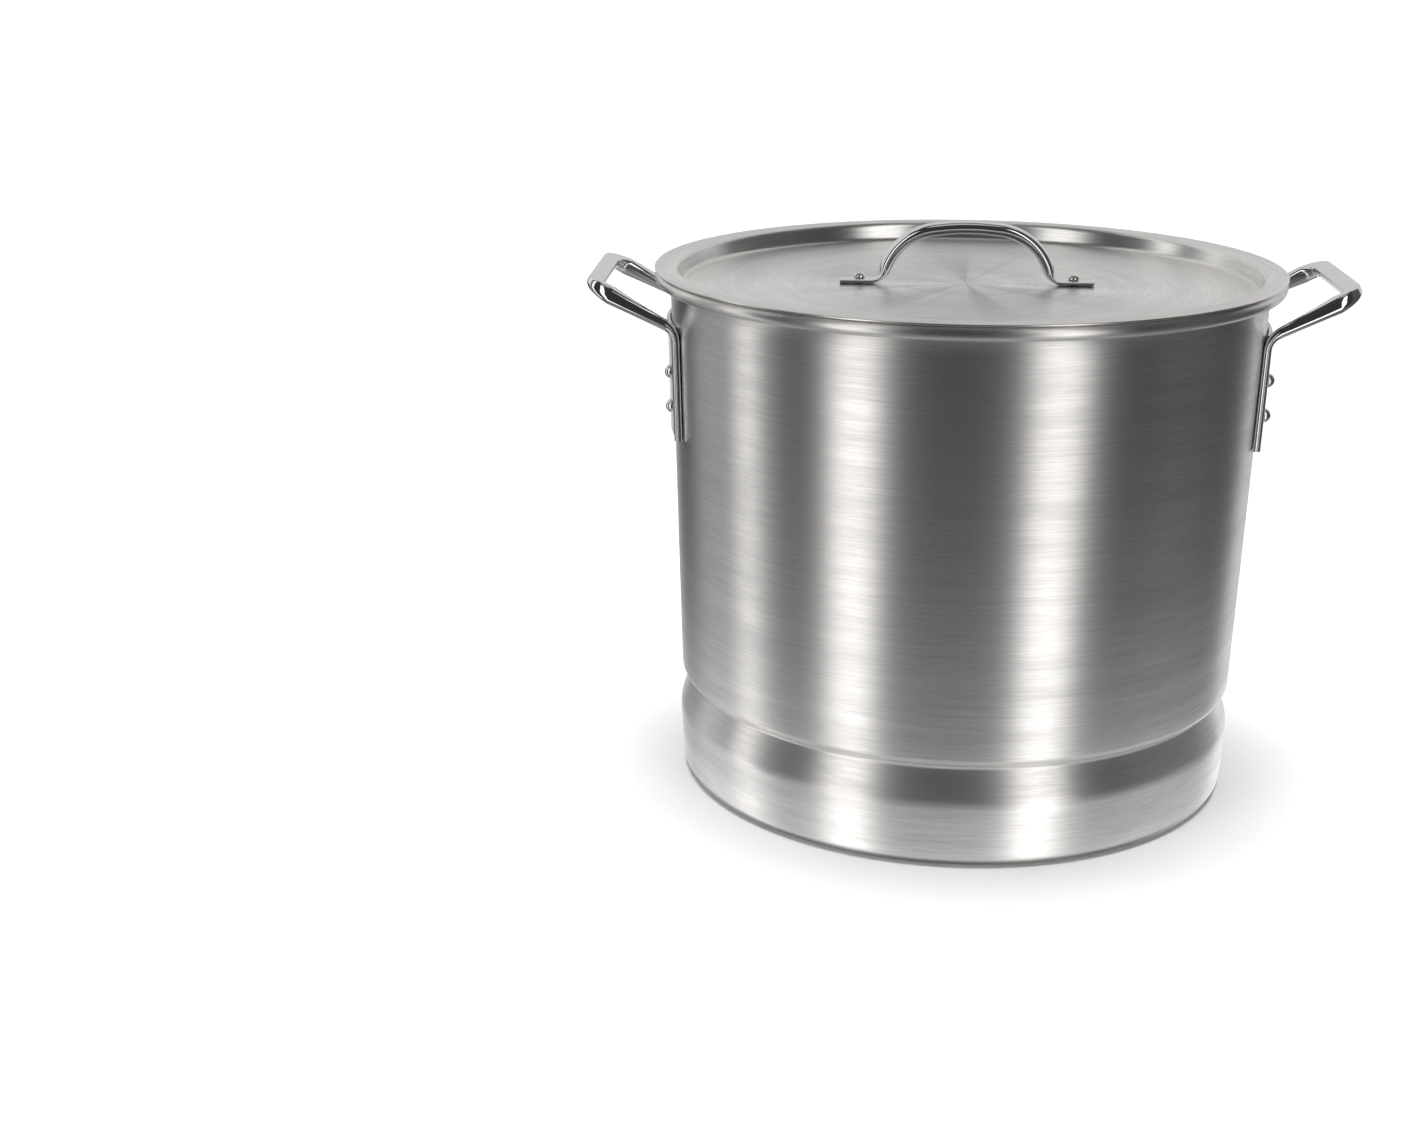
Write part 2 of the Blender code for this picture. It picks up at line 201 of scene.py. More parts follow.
def split_long(points: Sequence[Point], longest: float) -> list[Point]:
    """Split the long straight stretches of a profile.

    Args:
        points: The profile, as radius and height.
        longest: Longest stretch that is left whole.

    Returns:
        The profile with more points.
    """
    result = [points[0]]
    for first, last in zip(points, points[1:]):
        count = max(1, math.ceil(math.dist(first, last) / longest))
        for step in range(1, count + 1):
            share = step / count
            result.append((mix(first[0], last[0], share), mix(first[1], last[1], share)))
    return result


def sheet_edge(outer: float, seat: float, sheet: float) -> list[Point]:
    """Points from the underside up round a sheet's outer edge, with its radius and underside's height."""
    nose = sheet / 2
    return arc((outer - nose, seat + nose), nose, -EDGE_ARC, EDGE_ARC, EDGE_STEPS)


# ---- meshes ----
def bridge(bm: Mesh, rings: Sequence[Sequence[bmesh.types.BMVert]]) -> None:
    """Join rings of the same size one after another, and close both ends.

    Args:
        bm: The mesh that holds the rings.
        rings: The rings, in order.
    """
    for ring, following in zip(rings, rings[1:]):
        for side in range(len(ring)):
            other = (side + 1) % len(ring)
            bm.faces.new((ring[side], ring[other], following[other], following[side]))
    bm.faces.new(rings[0])
    bm.faces.new(rings[-1])


def turned(profile: Sequence[Point], segments: int) -> Mesh:
    """Turn a profile about Z and close its two ends with flat discs.

    Args:
        profile: Radius and height of each point.
        segments: Steps round the axis.

    Returns:
        The closed mesh.
    """
    bm = bmesh.new()
    spokes = [polar(1.0, 2 * math.pi * index / segments, 0.0) for index in range(segments)]
    bridge(bm, [[bm.verts.new((r * s.x, r * s.y, z)) for s in spokes] for r, z in profile])
    return bm


def lofted(sections: Sequence[Section]) -> Mesh:
    """Make a closed bar through a row of sections.

    Args:
        sections: Rings of points, all of the same length.

    Returns:
        The closed mesh.
    """
    bm = bmesh.new()
    bridge(bm, [[bm.verts.new(point) for point in section] for section in sections])
    return bm


def finished(bm: Mesh, name: str) -> bpy.types.Mesh:
    """Turn a mesh under work into a finished one.

    Args:
        bm: The mesh under work, which is used up.
        name: The finished mesh's name.

    Returns:
        The finished mesh.
    """
    mesh = bpy.data.meshes.new(name)
    bm.to_mesh(mesh)
    bm.free()
    return mesh


def placed(name: str, data: bpy.types.ID) -> Thing:
    """Put a mesh, a light or a camera into the scene.

    Args:
        name: The object's name.
        data: What it holds.

    Returns:
        The object.
    """
    thing = bpy.data.objects.new(name, data)
    bpy.context.collection.objects.link(thing)
    return thing


def piece(name: str, bm: Mesh, material: Material, body: Body, slot: Slot,
          replaced: Sequence[str] = (), bevel: float = 0.0) -> Thing:
    """Turn a mesh into a finished piece of the kettle.

    Args:
        name: The piece's name.
        bm: Its mesh, which is used up.
        material: Its finish.
        body: The body that it rides on.
        slot: The record's finish that it stands for; not used.
        replaced: The frame's nodes that it stands for.
        bevel: Width of a bevel on its sharp edges, or 0 for none.

    Returns:
        The piece.
    """
    bmesh.ops.recalc_face_normals(bm, faces=bm.faces)
    mesh = finished(bm, name)
    mesh.shade_smooth()
    mesh.set_sharp_from_angle(angle=SHARP_ANGLE)
    mesh.materials.append(material)
    thing = placed(name, mesh)
    if bevel:
        step = thing.modifiers.new("bevel", "BEVEL")
        step.width = bevel
        step.segments = 3
        step.limit_method = "ANGLE"
        step.angle_limit = SHARP_ANGLE
        step.harden_normals = True
    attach(thing, body.value)
    if replaced:
        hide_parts(*replaced)
    LOG.info("%s: %d faces, on %s", name, len(mesh.polygons), body.value)
    return thing


# ---- finishes ----
class Nodes:
    """The nodes of a material or of the world, made and wired one after another."""

    def __init__(self, tree: bpy.types.NodeTree) -> None:
        """Take an empty node tree."""
        self.tree = tree
        tree.nodes.clear()

    def add(self, kind: str, inputs: dict[str | int, object] | None = None,
            **settings: object) -> bpy.types.Node:
        """Make a node.

        Args:
            kind: The node's type, without its ShaderNode prefix.
            inputs: A value or a socket for each input that isn't left alone.
            **settings: The node's own properties.

        Returns:
            The node.
        """
        node = self.tree.nodes.new("ShaderNode" + kind)
        for key, value in settings.items():
            setattr(node, key, value)
        for key, value in (inputs or {}).items():
            self.feed(node.inputs[key], value)
        return node

    def feed(self, target: Socket, value: object) -> None:
        """Set an input to a value, or wire it to a socket.

        Args:
            target: The input.
            value: The value or the socket.
        """
        if isinstance(value, bpy.types.NodeSocket):
            self.tree.links.new(value, target)
        else:
            target.default_value = value

    def maths(self, operation: str, *values: object) -> Socket:
        """The result of a Math node, with a number or a socket for each input."""
        return self.add("Math", dict(enumerate(values)), operation=operation).outputs[0]

    def weighted(self, *parts: tuple[Socket, float]) -> Socket:
        """A sum of values that each have a weight.

        Args:
            *parts: Each value with its weight.

        Returns:
            The sum.
        """
        *others, total = [self.maths("MULTIPLY", value, weight) for value, weight in parts]
        for part in reversed(others):
            total = self.maths("ADD", part, total)
        return total

    def noise(self, vector: Socket, scale: float, detail: float = 2.0, roughness: float = 0.5) -> Socket:
        """A Noise Texture's value, round 0.5; detail is its octaves, and roughness is their strength."""
        inputs = {"Vector": vector, "Scale": scale, "Detail": detail, "Roughness": roughness}
        return self.add("TexNoise", inputs).outputs["Fac"]

    def scaled(self, vector: Socket, scale: Sequence[float]) -> Socket:
        """A vector stretched along its axes."""
        return self.add("VectorMath", {0: vector, 1: tuple(scale)}, operation="MULTIPLY").outputs[0]

    def ranged(self, value: Socket, old: Point, new: Point, kind: str = "LINEAR") -> Socket:
        """A value carried from one range to another.

        Args:
            value: The value.
            old: The range that it comes from.
            new: The range that it goes to.
            kind: How it is carried there.

        Returns:
            The new value.
        """
        names = ("From Min", "From Max", "To Min", "To Max")
        node = self.add("MapRange", {"Value": value, **dict(zip(names, old + new))},
                        interpolation_type=kind)
        return node.outputs["Result"]

    def shade(self, colour: Colour, share: Socket, depth: float) -> Socket:
        """A colour that darkens a little where a value is low.

        Args:
            colour: The colour where the value is 1.
            share: The value, from 0 to 1.
            depth: How much of the colour's brightness is lost at 0.

        Returns:
            The colour.
        """
        dark = [channel * (1 - depth) for channel in colour]
        node = self.add("Mix", data_type="RGBA")
        self.feed(node.inputs["Factor"], share)
        sockets = [socket for socket in node.inputs if socket.type == "RGBA"]
        self.feed(sockets[0], (*dark, 1.0))
        self.feed(sockets[1], (*colour, 1.0))
        return next(socket for socket in node.outputs if socket.type == "RGBA")


def blank_material(name: str) -> tuple[Material, Nodes, Socket]:
    """Start a material.

    Args:
        name: The material's name.

    Returns:
        The material, its nodes, and the place on the piece at which its patterns are read.
    """
    material = bpy.data.materials.new(name)
    material.use_nodes = True
    nodes = Nodes(material.node_tree)
    return material, nodes, nodes.add("TexCoord").outputs["Object"]


def metal_shader(nodes: Nodes, colour: object, roughness: object, relief: Socket,
                 depth: float) -> bpy.types.Node:
    """A metal with its own relief, wired to the material's output.

    Args:
        nodes: The material's nodes.
        colour: The colour, or a socket that gives it.
        roughness: The roughness, or a socket that gives it.
        relief: The height of the surface, from 0 to 1.
        depth: How deep that relief is, in metres.

    Returns:
        The shader.
    """
    bump = nodes.add("Bump", {"Height": relief, "Strength": 1.0, "Distance": depth})
    shader = nodes.add("BsdfPrincipled", {"Base Color": colour, "Roughness": roughness, "Metallic": 1.0,
                                          "Normal": bump.outputs["Normal"]})
    nodes.add("OutputMaterial", {"Surface": shader.outputs["BSDF"]})
    return shader


@dataclass(frozen=True)
class Streaks:
    """Brushing lines of one kind, compared with their finish's own lines."""

    shorter: float  # how many times as short they are
    closer: float  # how many times as close together
    weight: float  # their share in the pattern
    detail: float = 2.0
    roughness: float = 0.5


@dataclass(frozen=True)
class SpunAluminium:
    """Aluminium sheet spun on a former and brushed round the axis."""

    name: str
    colour: Colour
    roughness: float
    line_pitch: float = 0.0008  # between the coarser brushing lines
    painted_fan_shade: float = 0.0  # how much darker the painted fans round the middle are: painted shade that stands in for a spun disc's reflection fans
    brushing: float = 0.80  # how much wider the shine is across the lines than along them
    brushing_turn: float = 0.25  # turns from the shader's own direction to the lines'
    line_length: float = 0.045
    line_contrast: float = 0.20
    relief: float = 0.000011
    drift: Point = (0.85, 1.15)  # how fast lines are passed with the height and with the radius
    coarse: Streaks = Streaks(1.0, 1.0, 0.6, 3.0, 0.6)
    fine: Streaks = Streaks(4.0, 3.1, 0.4)
    broad: Streaks = Streaks(0.25, 0.07, 0.25)
    line_weight: float = 0.6  # of the lines in the wear, beside the broad bands and the smudges
    smudge_scale: float = 9.0
    smudge_weight: float = 0.15
    dull_range: Point = (0.38, 0.62)
    worn_range: Point = (0.35, 0.65)
    polish: float = 0.12  # how much rougher and smoother the roughness gets
    fan_scale: float = 1.9
    fan_range: Point = (0.40, 0.60)
    fan_reach: Point = (0.03, 0.17)  # radii between which the painted fans fade out

    def streaks(self, nodes: Nodes, place: Socket, kind: Streaks) -> Socket:
        """Lines of one kind that run round the axis, read where Z counts the way across them."""
        scale = (*(kind.shorter / self.line_length,) * 2, kind.closer / self.line_pitch)
        return nodes.noise(nodes.scaled(place, scale), 1.0, kind.detail, kind.roughness)

    def with_painted_fans(self, nodes: Nodes, share: Socket, direction: Socket, radius: Socket) -> Socket:
        """Paint the fans of a spun disc's reflection round its middle over its lines, as painted shade in
        the colour.

        Args:
            nodes: The material's nodes.
            share: How bright the lines are, from 0 to 1.
            direction: The way from the axis.
            radius: The distance from the axis.

        Returns:
            How bright the lines and the painted fans are together, from 0 to 1.
        """
        depth = self.line_contrast + self.painted_fan_shade
        turn = nodes.add("VectorMath", {0: direction}, operation="NORMALIZE").outputs[0]
        cloud = nodes.noise(turn, self.fan_scale, detail=3.0, roughness=0.65)
        rays = nodes.ranged(cloud, self.fan_range, UNIT, "SMOOTHSTEP")
        near = nodes.ranged(radius, self.fan_reach, (self.painted_fan_shade / depth, 0.0), "SMOOTHSTEP")
        # the darkening is the lines' grain plus the painted shade of the reflection fans
        dull = nodes.maths("MULTIPLY", nodes.maths("SUBTRACT", 1.0, share), self.line_contrast / depth)
        dull = nodes.maths("ADD", dull, nodes.maths("MULTIPLY", rays, near))
        return nodes.maths("SUBTRACT", 1.0, dull)

    def build(self) -> Material:
        """Make the material.

        Returns:
            The material.
        """
        material, nodes, place = blank_material(self.name)
        split = nodes.add("SeparateXYZ", {"Vector": place})
        x, y, z = (split.outputs[axis] for axis in "XYZ")
        radius = nodes.maths("SQRT", nodes.maths("ADD", nodes.maths("POWER", x, 2.0),
                                                 nodes.maths("POWER", y, 2.0)))
        across = nodes.weighted((z, self.drift[0]), (radius, self.drift[1]))
        along = nodes.add("CombineXYZ", {"X": x, "Y": y, "Z": across}).outputs[0]
        coarse, fine, broad = (self.streaks(nodes, along, kind)
                               for kind in (self.coarse, self.fine, self.broad))
        smudge = nodes.noise(place, self.smudge_scale, detail=3.0, roughness=0.55)
        lines = nodes.weighted((coarse, self.coarse.weight), (fine, self.fine.weight))
        worn = nodes.weighted((lines, self.line_weight), (broad, self.broad.weight),
                              (smudge, self.smudge_weight))
        share = nodes.ranged(worn, self.dull_range, UNIT, "SMOOTHSTEP")
        rough = (self.roughness * (1 + self.polish), self.roughness * (1 - self.polish))
        # on discs, painted shade in fans round the middle stands in for the spun sheet's reflection
        if self.painted_fan_shade:
            direction = nodes.add("CombineXYZ", {"X": x, "Y": y}).outputs[0]
            share = self.with_painted_fans(nodes, share, direction, radius)
        colour = nodes.shade(self.colour, share, self.line_contrast + self.painted_fan_shade)
        shader = metal_shader(nodes, colour, nodes.ranged(worn, self.worn_range, rough), lines, self.relief)
        shader.inputs["Anisotropic"].default_value = self.brushing
        shader.inputs["Anisotropic Rotation"].default_value = self.brushing_turn
        tangent = nodes.add("Tangent", direction_type="RADIAL", axis="Z")
        nodes.feed(shader.inputs["Tangent"], tangent.outputs[0])
        return material


@dataclass(frozen=True)
class PolishedMetal:
    """Bright metal, nearly a mirror: a little uneven, with faint wipe marks or stains."""

    name: str
    colour: Colour
    roughness: float
    relief: float = 0.00004  # height of the unevenness
    relief_scale: float = 110.0
    relief_detail: float = 1.0
    mark_scale: tuple[float, ...] = (60.0, 160.0, 60.0)
    mark_detail: float = 4.0
    mark_blend: float = 0.65
    worn: float = 2.6  # how many times as rough the marks are
    worn_range: Point = (0.40, 0.75)
    dull: float = 0.06  # how much darker they are
    dull_range: Point = (0.70, 0.40)

    def build(self) -> Material:
        """Make the material.

        Returns:
            The material.
        """
        material, nodes, place = blank_material(self.name)
        marks = nodes.noise(nodes.scaled(place, self.mark_scale), 1.0, self.mark_detail, self.mark_blend)
        relief = nodes.noise(place, self.relief_scale, self.relief_detail)
        roughness = nodes.ranged(marks, self.worn_range, (self.roughness, self.roughness * self.worn))
        share = nodes.ranged(marks, self.dull_range, UNIT)
        metal_shader(nodes, nodes.shade(self.colour, share, self.dull), roughness, relief, self.relief)
        return material


@dataclass(frozen=True)
class Backdrop:
    """The studio's pale floor paint."""

    name: str
    colour: Colour
    cloud_scale: float = 3.0
    cloud_range: Point = (0.3, 0.7)
    dull: float = 0.01

    def build(self) -> Material:
        """Make the material.

        Returns:
            The material.
        """
        material, nodes, place = blank_material(self.name)
        cloud = nodes.noise(place, self.cloud_scale, detail=3.0)
        share = nodes.ranged(cloud, self.cloud_range, UNIT)
        shader = nodes.add("BsdfDiffuse", {"Color": nodes.shade(self.colour, share, self.dull)})
        nodes.add("OutputMaterial", {"Surface": shader.outputs["BSDF"]})
        return material


@dataclass(frozen=True)
class Finishes:
    """Every finish of the kettle."""

    pot: Material
    lid: Material
    plate: Material
    chrome: Material
    rivet: Material

    @classmethod
    def make(cls) -> "Finishes":
        """Build the finishes.

        Returns:
            The finishes.
        """
        return cls(
            pot=SpunAluminium("pot_aluminium", (0.93, 0.915, 0.90), 0.36).build(),
            # the lid and the plate get painted shade in fans round their middles, standing in for their
            # reflection
            lid=SpunAluminium("lid_aluminium", (0.95, 0.94, 0.925), 0.30,
                              line_pitch=0.0014, painted_fan_shade=0.24).build(),
            plate=SpunAluminium("plate_aluminium", (0.95, 0.94, 0.93), 0.36,
                                line_pitch=0.0016, painted_fan_shade=0.14).build(),
            chrome=PolishedMetal("handle_chrome", (0.86, 0.86, 0.87), 0.035).build(),
            rivet=PolishedMetal("rivet_aluminium", (0.90, 0.89, 0.87), 0.14, relief=0.00012,
                                relief_scale=700.0, relief_detail=2.0, mark_scale=(260.0, 260.0, 260.0),
                                mark_detail=3.0, mark_blend=0.6, worn=2.0, worn_range=(0.35, 0.70),
                                dull=0.15).build())


# ---- pot ----
@dataclass
class Pot:
    """The spun pot: base, band, groove, tapered wall and rolled rim, in one sheet."""

    finishes: Finishes
    sheet: float = 0.0018
    rim_roll: float = 0.0047  # radius of the rolled rim's section
    rim_throat: float = 0.0032  # radius of the bend from the wall into the rim
    roll_end: float = -150.0  # degrees at which the roll ends under the rim
    throat_steps: int = 9
    roll_steps: int = 30
    wall_head: Point = (0.2042, 0.3490)
    wall_foot: Point = (0.1965, 0.0722)
    groove: Point = (0.1895, 0.0694)
    band_edge: Point = (0.1976, 0.0450)
    base_edge: Point = (0.1956, 0.0)
    rounding: tuple[float, ...] = (0.0070, 0.0030, 0.0220, 0.0080)
    centre: float = 0.004  # radius of the flat disc that closes the sheet in the middle
    longest: float = 0.008  # straight stretch of the profile
    segments: int = 320

    def wall_radius(self, height: float) -> float:
        """Outside radius of the tapered wall at a height."""
        share = (height - self.wall_foot[1]) / (self.wall_head[1] - self.wall_foot[1])
        return mix(self.wall_foot[0], self.wall_head[0], share)

    @property
    def taper(self) -> float:
        """How far the wall leans out, as an angle."""
        return math.atan2(self.wall_head[0] - self.wall_foot[0], self.wall_head[1] - self.wall_foot[1])

    def profile(self) -> list[Point]:
        """The whole sheet's outline, from the middle of the floor over the rim and back below.

        Returns:
            The outline, as radius and height.
        """
        top = node_box("kettle_rim")[1]
        outside = rounded_profile((self.wall_head, self.wall_foot, self.groove, self.band_edge,
                                   self.base_edge, (self.centre, self.base_edge[1])), self.rounding)
        outside = split_long(outside, self.longest)
        inside = offset(outside, -self.sheet)
        throat = (self.wall_head[0] - self.sheet + self.rim_throat, top.z - self.rim_throat)
        roll = (top.x - self.rim_roll, top.z - self.rim_roll)
        rim = (arc(throat, self.rim_throat, 180, 90, self.throat_steps)
               + arc(roll, self.rim_roll, 90, self.roll_end, self.roll_steps))
        return inside[::-1] + rim + outside

    def build(self) -> None:
        """Make the pot."""
        piece("pot", turned(self.profile(), self.segments), self.finishes.pot, Body.KETTLE, Slot.POT,
              ("kettle_base", "kettle_wall", "kettle_rim"))


# ---- bars and rivets ----
def bar_section(centre: Vector, side: Vector, front: Vector, size: Point, flatness: float,
                groove: float = 0.0, points: int = 60) -> Section:
    """Points round a bar with a round front and a flatter back.

    Args:
        centre: The bar's middle.
        side: Direction of its width.
        front: Direction of its round front.
        size: Width and thickness.
        flatness: How flat the back is; 2 is round.
        groove: Depth of the groove pressed along both sides, as a share of half the width.
        points: Points round the bar.

    Returns:
        The section.
    """
    section = []
    for index in range(points):
        angle = 2 * math.pi * index / points
        power = 1.0 if math.sin(angle) >= 0 else 2 / flatness
        across = math.copysign(abs(math.cos(angle)) ** power, math.cos(angle))
        deep = math.copysign(abs(math.sin(angle)) ** power, math.sin(angle))
        across *= 1.0 - groove * math.exp(-(deep / GROOVE_WIDTH) ** 2)
        section.append(centre + side * (across * size[0] / 2) + front * (deep * size[1] / 2))
    return section


@dataclass(frozen=True)
class Rivet:
    """A round-head rivet with a flat inner head; its origin lies on the sheet's outer face."""

    shank: float
    head_radius: float
    head_height: float
    inner_head: float
    inner_shape: tuple[Point, ...] = ((0.86, 1.0), (0.97, 0.7), (1.0, 0.25), (0.98, 0.0))
    core: float = 0.5  # flat middle of the inner head, as a share of the shank
    under_head: float = 0.96  # width of the round head where it touches, as a share of its own
    edge: float = 0.08  # height of the round head's upright edge, as a share of its own
    dome_steps: int = 18
    segments: int = 48

    def build(self, below: float, above: float) -> Mesh:
        """Make the rivet's mesh, with its axis on Z and its round head up.

        Args:
            below: From the origin down to the inner head.
            above: From the origin up to the round head.

        Returns:
            The mesh.
        """
        outline = [(self.shank * self.core, -below - self.inner_head)]
        outline += [(self.head_radius * wide, -below - self.inner_head * deep)
                    for wide, deep in self.inner_shape]
        outline += [(self.shank, -below), (self.shank, above), (self.head_radius * self.under_head, above),
                    (self.head_radius, above + self.head_height * self.edge)]
        for index in range(1, self.dome_steps):
            angle = math.radians(90 * index / self.dome_steps)
            outline.append((self.head_radius * math.cos(angle),
                            above + self.head_height * mix(self.edge, 1.0, math.sin(angle))))
        return turned(outline, self.segments)


# ---- side handles ----
@dataclass
class SideHandles:
    """Two chromed pressed-steel handles, each with a loop, a backplate and four rivets."""

    pot: Pot
    foot: float = 0.2500
    bend: float = 0.3262
    leg_spread: float = 0.0605  # half the distance between the legs
    leg_size: Point = (0.0084, 0.0050)
    grip_spread: float = 0.0560
    grip_reach: float = 0.2526
    grip_height: float = 0.3552
    arm_size: Point = (0.0114, 0.0130)
    grip_size: Point = (0.0118, 0.0100)
    knee_radius: float = 0.001  # of the slight bend halfway up the leg
    bend_radius: float = 0.0130
    grip_corner: float = 0.0150
    plate: float = 0.0027
    plate_top: float = 0.3240
    plate_half_angle: float = math.radians(16.5)
    plate_bevel: float = 0.0005
    plate_columns: int = 24
    plate_rows: int = 8
    lip_size: Point = (0.0080, 0.0036)
    air: float = 0.0003  # between a piece and what it lies on
    flat_back: float = 4.0
    back_ease: float = 1.4  # how much rounder the back of an arm is
    groove: float = 0.13
    groove_end: float = 0.8  # share of the arm along which the groove fades out
    rivet: Rivet = Rivet(shank=0.0030, head_radius=0.0050, head_height=0.0052, inner_head=0.0014)
    rivet_count: int = 4

    def loop(self) -> Mesh:
        """The rolled edge that makes the legs, the arms and the grip.

        Returns:
            The mesh, for the right side.
        """
        angle = math.asin(self.leg_spread / self.pot.wall_radius(self.bend))
        lift = self.air + self.leg_size[1] / 2
        foot, bend = (polar(self.pot.wall_radius(height) + lift, -angle, height)
                      for height in (self.foot, self.bend))
        corner = Vector((self.grip_reach, -self.grip_spread, self.grip_height))
        half = [foot, foot.lerp(bend, 0.5), bend, corner]
        corners = half + [Vector((p.x, -p.y, p.z)) for p in reversed(half)]
        radii = (self.knee_radius, self.bend_radius, self.grip_corner)
        slope = (corner - bend).normalized()
        under = Vector((slope.z, 0.0, -slope.x)).normalized()
        sections = []
        for point, along in filleted(corners, radii + radii[::-1]):
            out = min(max((point.x - bend.x) / (2 * self.bend_radius), 0.0), 1.0)
            grip = min(max((point.x - corner.x + self.grip_corner) / self.grip_corner, 0.0), 1.0)
            leg_side = Vector((math.cos(angle), math.copysign(math.sin(angle), point.y), 0.0))
            front = leg_side.lerp(under, smooth(out, 0.0, 1.0))
            front = (front - along * front.dot(along)).normalized()
            size = tuple(mix(mix(leg, arm, out), grip_size, grip)
                         for leg, arm, grip_size in zip(self.leg_size, self.arm_size, self.grip_size))
            flatness = self.flat_back - self.back_ease * (out - grip)
            fading = smooth(point.x, bend.x, mix(bend.x, corner.x, self.groove_end))
            groove = self.groove * (1.0 - fading)
            sections.append(bar_section(point, along.cross(front), front, size, flatness, groove))
        return lofted(sections)

    def plate_angles(self) -> list[float]:
        """Directions of the backplate's columns, from the axis."""
        steps = self.plate_columns
        return [self.plate_half_angle * step / steps for step in range(-steps, steps + 1)]

    def backplate(self) -> Mesh:
        """The plate between the legs, bent to the wall.

        Returns:
            The mesh, for the right side.
        """
        bm = bmesh.new()
        rings = []
        heights = [mix(self.foot, self.plate_top, row / self.plate_rows)
                   for row in range(self.plate_rows + 1)]
        for angle in self.plate_angles():
            ring = []
            for height in heights:
                ring.append(bm.verts.new(polar(self.pot.wall_radius(height) + self.air, angle, height)))
            for height in reversed(heights):
                radius = self.pot.wall_radius(height) + self.air + self.plate
                ring.append(bm.verts.new(polar(radius, angle, height)))
            rings.append(ring)
        bridge(bm, rings)
        return bm

    def lip(self) -> Mesh:
        """The rolled upper edge of the backplate, between the arms.

        Returns:
            The mesh, for the right side.
        """
        radius = self.pot.wall_radius(self.plate_top) + 2 * self.air + self.lip_size[1] / 2
        up = Vector((0.0, 0.0, 1.0))
        return lofted([bar_section(polar(radius, angle, self.plate_top), up, polar(1.0, angle, 0.0),
                                   self.lip_size, self.flat_back) for angle in self.plate_angles()])

    def rivets(self, side: Side) -> None:
        """Put the rivets through a handle's backplate.

        Args:
            side: The handle's side.
        """
        for number in range(1, self.rivet_count + 1):
            node = f"handle_rivet_{side.label}_{number}"
            low, high = node_box(node)
            middle = (low + high) / 2
            angle = math.atan2(middle.y, middle.x)
            place = Matrix.Translation(polar(self.pot.wall_radius(middle.z), angle, middle.z))
            place @= Matrix.Rotation(angle, 4, "Z") @ Matrix.Rotation(math.pi / 2 + self.pot.taper, 4, "Y")
            bm = self.rivet.build(self.pot.sheet + self.air, self.plate + 2 * self.air)
            bmesh.ops.transform(bm, matrix=place, verts=bm.verts)
            piece(f"{side.label}_rivet_{number}", bm, self.pot.finishes.rivet, Body.KETTLE, Slot.RIVET,
                  (node,))

    def build(self) -> None:
        """Make both handles."""
        for side in Side:
            shapes = (("loop", self.loop(), (f"handle_{side.label}",), 0.0),
                      ("backplate", self.backplate(), (), self.plate_bevel),
                      ("lip", self.lip(), (), 0.0))
            for part, bm, nodes, bevel in shapes:
                bmesh.ops.transform(bm, matrix=side.turn, verts=bm.verts)
                piece(f"{side.label}_handle_{part}", bm, self.pot.finishes.chrome, Body.KETTLE, Slot.HANDLE,
                      nodes, bevel)
            self.rivets(side)


